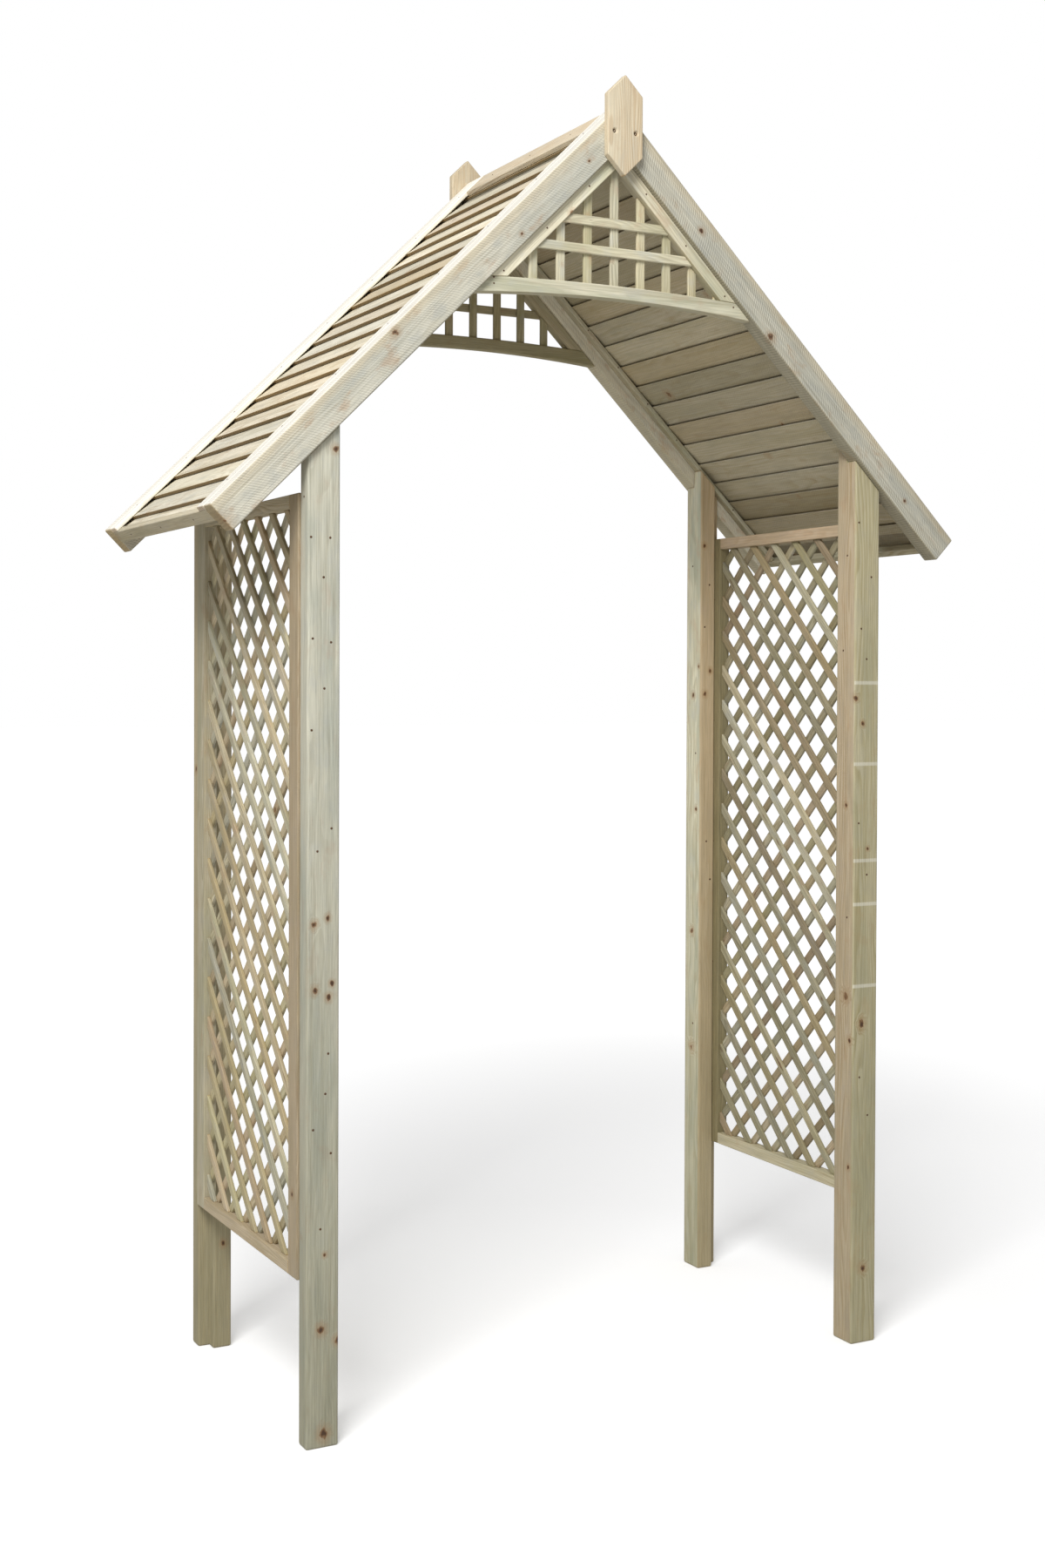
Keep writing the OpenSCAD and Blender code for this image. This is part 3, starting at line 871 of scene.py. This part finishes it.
class ARCH_OT_posts(ArchOperator, bpy.types.Operator):
    """Makes the four posts"""

    bl_idname = "arch.posts"
    bl_label = "Posts"

    def execute(self, context):
        for end in ENDS:
            for side in SIDES:
                node = f"post_{end}_{side}"
                knots = [(on_post(node, face, height, across)[0], radius / 1000)
                         for face, height, across, radius in POST_KNOTS[node]]
                make = strapped_post_pine if node == "post_front_right" else planed_post_pine
                dress(node, "post_timber", sizes().post_arris, along=UP, make=make, knots=knots,
                      variety=0)
        return {"FINISHED"}


class ARCH_OT_rafters(ArchOperator, bpy.types.Operator):
    """Makes the four rafters"""

    bl_idname = "arch.rafters"
    bl_label = "Rafters"

    def execute(self, context):
        for end in ENDS:
            for side in SIDES:
                node = f"rafter_{end}_{side}"
                knots = [self.knot(node, *knot) for knot in RAFTER_KNOTS[node]]
                dress(node, "rafter_timber", sizes().rafter_arris, knots=knots, variety=0)
        return {"FINISHED"}

    def knot(self, node, down, inward, radius):
        """A knot's place on the outer face of a rafter, and its radius, from millimetres."""
        low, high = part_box(node)
        slope = timber_slope(node)
        ridge = Vector((high.x if slope.x < 0 else low.x, low.y, high.z))
        if node.startswith("rafter_back"):
            ridge.y = high.y
        under = slope.cross(THROUGH)
        if under.z > 0:
            under = -under
        return ridge + slope * down / 1000 + under * inward / 1000, radius / 1000


class ARCH_OT_roof(ArchOperator, bpy.types.Operator):
    """Makes the roof boards and the strips that carry and cover them"""

    bl_idname = "arch.roof"
    bl_label = "Roof"

    def execute(self, context):
        arris = sizes().frame_arris
        for side in SIDES:
            dress(f"roof_boards_{side}", "roof_board_timber", sizes().board_arris,
                  variety=BOARD_VARIETY)
            dress(f"ridge_board_{side}", "roof_board_timber", arris, make=fresh_finial_pine)
            dress(f"eave_board_{side}", "frame_timber", arris)
            for end in ENDS:
                dress(f"verge_strip_{end}_{side}", "roof_board_timber", arris,
                      make=bright_strip_pine)
                dress(f"roof_batten_{end}_{side}", "frame_timber", arris)
        return {"FINISHED"}


class ARCH_OT_gables(ArchOperator, bpy.types.Operator):
    """Makes the collars, the strips under the rafters and the gable lattices"""

    bl_idname = "arch.gables"
    bl_label = "Gables"

    def execute(self, context):
        for end in ENDS:
            dress(f"collar_{end}", "frame_timber", sizes().frame_arris, along=ACROSS)
            for side in SIDES:
                dress(f"gable_strip_{end}_{side}", "frame_timber", sizes().frame_arris)
            self.lattice(end)
        return {"FINISHED"}

    def lattice(self, end):
        """Level laths outside and upright laths inside, clipped to the strips and the collar."""
        node = f"gable_lattice_{end}"
        low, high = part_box(node)
        collar_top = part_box(f"collar_{end}")[1].z
        # The uprights run this far behind the top of the collar, which is lower at its ends
        let_in = 0.006
        inward = THROUGH if end == "front" else -THROUGH
        outside = low.y if end == "front" else high.y
        layer = inward * (high.y - low.y) / 2
        apex = Vector((0, 0, high.z))
        slope = timber_slope(f"gable_strip_{end}_right")
        limits = [(apex, Vector((side * -slope.z, 0, slope.x))) for side in (-1, 1)]
        levels = int((high.z - collar_top - sizes().gable_first) / sizes().gable_step_up)
        laths = []
        for i in range(levels):
            height = collar_top + sizes().gable_first + i * sizes().gable_step_up
            laths.append(lath(Vector((0, outside, height)), ACROSS, sizes().gable_lath_width,
                              layer, limits))
        limits.append((UP * (collar_top - let_in), -UP))
        count = int(high.x / sizes().gable_step_across)
        for i in range(-count, count + 1):
            middle = Vector((i * sizes().gable_step_across, outside + layer.y, collar_top))
            laths.append(lath(middle, UP, sizes().gable_lath_width, layer, limits))
        make_laths(node, laths, LATTICE_TINTS[end], GABLE_VARIETY)


class ARCH_OT_finials(ArchOperator, bpy.types.Operator):
    """Makes the two finial boards and the sunk screws that hold them"""

    bl_idname = "arch.finials"
    bl_label = "Finials"

    def execute(self, context):
        radius = sizes().screw_head / 2
        depth = sizes().screw_depth
        # How far the screws stand to the sides and below the upper point of the board
        aside = 0.026
        below = 0.122
        heads = bmesh.new()
        for end in ENDS:
            low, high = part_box(f"finial_{end}")
            look = -THROUGH if end == "front" else THROUGH
            face = low.y if end == "front" else high.y
            holes = bmesh.new()
            for side in (-1, 1):
                point = Vector((side * aside, face, high.z - below))
                hole = ((radius * 0.9, -depth), (radius * 1.2, 0), (radius * 1.2, depth))
                add_turned(holes, point, look, hole)
                head = ((radius * 0.85, -2 * depth), (radius * 0.85, -depth * 0.9),
                        (radius * 0.45, -depth * 0.8), (radius * 0.3, -depth * 1.2))
                add_turned(heads, point, look, head)
            cut = cut_out(cad_mesh(f"finial_{end}"), holes)
            dress(f"finial_{end}", "finial_timber", sizes().finial_arris, along=UP, mesh=cut)
        make_piece("finial_screws", heads, finish(galvanised_steel))
        return {"FINISHED"}


class ARCH_OT_side_panels(ArchOperator, bpy.types.Operator):
    """Makes the framed diamond lattices of both sides"""

    bl_idname = "arch.side_panels"
    bl_label = "Side panels"

    def execute(self, context):
        for side in SIDES:
            for end in ENDS:
                dress(f"stile_{end}_{side}", "frame_timber", sizes().frame_arris)
            for level in ("top", "bottom"):
                dress(f"{level}_rail_{side}", "frame_timber", sizes().frame_arris)
            self.diamonds(side)
        return {"FINISHED"}

    def diamonds(self, side):
        """Two layers of slanted laths, clipped to the panel frame."""
        low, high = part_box(f"side_lattice_{side}")
        middle = (low + high) / 2
        layer = Vector(((high.x - low.x) / 2, 0, 0))
        count = math.ceil((high.y - low.y + high.z - low.z) / sizes().lath_step)
        limits = ((low, -THROUGH), (high, THROUGH), (low, -UP), (high, UP))
        laths = []
        for start, lean in ((low.x, THROUGH + UP), (middle.x, THROUGH - UP)):
            for i in range(-count, count + 1):
                at = Vector((start, middle.y + i * sizes().lath_step, middle.z))
                laths.append(lath(at, lean, sizes().lath_width, layer, limits))
        make_laths(f"side_lattice_{side}", laths, LATTICE_TINTS[side], DIAMOND_VARIETY)


class ARCH_OT_nails(ArchOperator, bpy.types.Operator):
    """Makes the nails of the posts, the roof, the gables and the side panels"""

    bl_idname = "arch.nails"
    bl_label = "Nails"

    def execute(self, context):
        head = sizes().nail_head
        posts = [on_post(node, *nail) for node, nails in POST_NAILS.items() for nail in nails]
        roof = []
        gables = []
        panels = []
        for side, out in zip(SIDES, (-ACROSS, ACROSS)):
            roof += row_on(f"eave_board_{side}", out)
            roof += row_on(f"ridge_board_{side}", UP + out)
            for level, look in (("top", UP), ("bottom", -UP)):
                panels += row_on(f"{level}_rail_{side}", look)
            for end, look in zip(ENDS, (-THROUGH, THROUGH)):
                roof += row_on(f"verge_strip_{end}_{side}", UP + out)
                roof += row_on(f"roof_batten_{end}_{side}", -look)
                gables += row_on(f"gable_strip_{end}_{side}", look)
                panels += row_on(f"stile_{end}_{side}", -out)
        for end, look in zip(ENDS, (-THROUGH, THROUGH)):
            low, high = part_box(f"collar_{end}")
            face = low.y if end == "front" else high.y
            for x, below in COLLAR_NAILS:
                gables.append((Vector((x, face, high.z - below)), look))
        drive_nails("post_nails", posts, head)
        drive_nails("roof_nails", roof, head * SMALL_HEAD)
        drive_nails("gable_nails", gables, head * SMALL_HEAD)
        drive_nails("panel_nails", panels, head * SMALL_HEAD)
        return {"FINISHED"}


class ARCH_OT_stage(ArchOperator, bpy.types.Operator):
    """Makes the floor, the light and the camera"""

    bl_idname = "arch.stage"
    bl_label = "Stage"

    def execute(self, context):
        self.floor()
        self.light()
        self.camera()
        return {"FINISHED"}

    def floor(self):
        """A pale floor that keeps the arch's shadow and fades into a white ground."""
        mesh = bmesh.new()
        bmesh.ops.create_grid(mesh, x_segments=2, y_segments=2, size=FLOOR_HALF)
        data = bpy.data.meshes.new("floor")
        mesh.to_mesh(data)
        mesh.free()
        material, put = new_tree("pale_studio_floor")
        # The light falls off, so the floor far from the arch is lifted more to stay white
        away = put("VectorMath", put("TexCoord").outputs["Object"], operation="LENGTH")
        lift = put("MapRange", away, *FLOOR_LIFT)
        seen = put("LightPath").outputs["Is Camera Ray"]
        lift = put("Math", seen, lift, operation="MULTIPLY")
        matt = put("BsdfDiffuse", shade("floor"))
        glow = put("Emission", sockets={"Strength": lift})
        put("OutputMaterial", put("AddShader", matt, glow))
        data.materials.append(material)
        floor = bpy.data.objects.new("floor", data)
        bpy.context.scene.collection.objects.link(floor)

    def light(self):
        """A soft box high at the front left, and a pale room all round."""
        world = bpy.data.worlds.new("studio")
        bpy.context.scene.world = world
        world.use_nodes = True
        world.node_tree.nodes.clear()
        put = partial(add, world.node_tree)
        seen = put("LightPath").outputs["Is Camera Ray"]
        strength = put("MapRange", seen, 0, 1, ROOM_LIGHT, 1)
        put("OutputWorld", put("Background", (1, 1, 1, 1), strength))
        lamp = bpy.data.lights.new("soft_box", "AREA")
        lamp.energy = SOFT_BOX_WATTS
        lamp.size = SOFT_BOX_SIZE
        soft_box = bpy.data.objects.new("soft_box", lamp)
        soft_box.location = SOFT_BOX_AT
        aim = SOFT_BOX_AT - Vector((0, 0, CAD_BOX[1].z * 0.55))
        soft_box.rotation_euler = aim.to_track_quat("Z", "Y").to_euler()
        bpy.context.scene.collection.objects.link(soft_box)

    def camera(self):
        """A camera from the front left, at eye height, that looks almost level."""
        data = bpy.data.cameras.new("camera")
        data.lens = CAMERA_LENS
        data.shift_x, data.shift_y = CAMERA_SHIFT
        yaw, pitch, roll = map(math.radians, (CAMERA_YAW, CAMERA_PITCH, CAMERA_ROLL))
        forward = Vector((math.sin(yaw) * math.cos(pitch), math.cos(yaw) * math.cos(pitch),
                          math.sin(pitch)))
        level = Vector((math.cos(yaw), -math.sin(yaw), 0))
        upward = level.cross(forward)
        right = level * math.cos(roll) + upward * math.sin(roll)
        top = upward * math.cos(roll) - level * math.sin(roll)
        turned = Matrix((right, top, -forward)).transposed().to_4x4()
        camera = bpy.data.objects.new("camera", data)
        camera.matrix_world = Matrix.Translation(CAMERA_AT) @ turned
        bpy.context.scene.collection.objects.link(camera)
        bpy.context.scene.camera = camera
        bpy.context.scene.view_settings.view_transform = "Standard"


BUILD_ORDER = (
    ARCH_OT_posts, ARCH_OT_rafters, ARCH_OT_roof, ARCH_OT_gables, ARCH_OT_finials,
    ARCH_OT_side_panels, ARCH_OT_nails, ARCH_OT_stage,
)


class ARCH_PT_sidebar(bpy.types.Panel):
    """Lists the arch's sizes, colours and pieces"""

    bl_idname = "ARCH_PT_sidebar"
    bl_label = "Garden arch"
    bl_space_type = "VIEW_3D"
    bl_region_type = "UI"
    bl_category = "Garden arch"

    def draw(self, context):
        for group in (context.scene.arch_sizes, context.scene.arch_colours):
            box = self.layout.box()
            for name in group.__annotations__:
                box.prop(group, name)
        for operator in BUILD_ORDER:
            self.layout.operator(operator.bl_idname)


CLASSES = (ArchSizes, ArchColours, *BUILD_ORDER, ARCH_PT_sidebar)


def register():
    for cls in CLASSES:
        bpy.utils.register_class(cls)
    bpy.types.Scene.arch_sizes = PointerProperty(type=ArchSizes)
    bpy.types.Scene.arch_colours = PointerProperty(type=ArchColours)


def unregister():
    del bpy.types.Scene.arch_colours
    del bpy.types.Scene.arch_sizes
    for cls in reversed(CLASSES):
        bpy.utils.unregister_class(cls)


def main():
    register()
    for operator in BUILD_ORDER:
        group, name = operator.bl_idname.split(".")
        getattr(getattr(bpy.ops, group), name)()


if __name__ == "__main__":
    main()
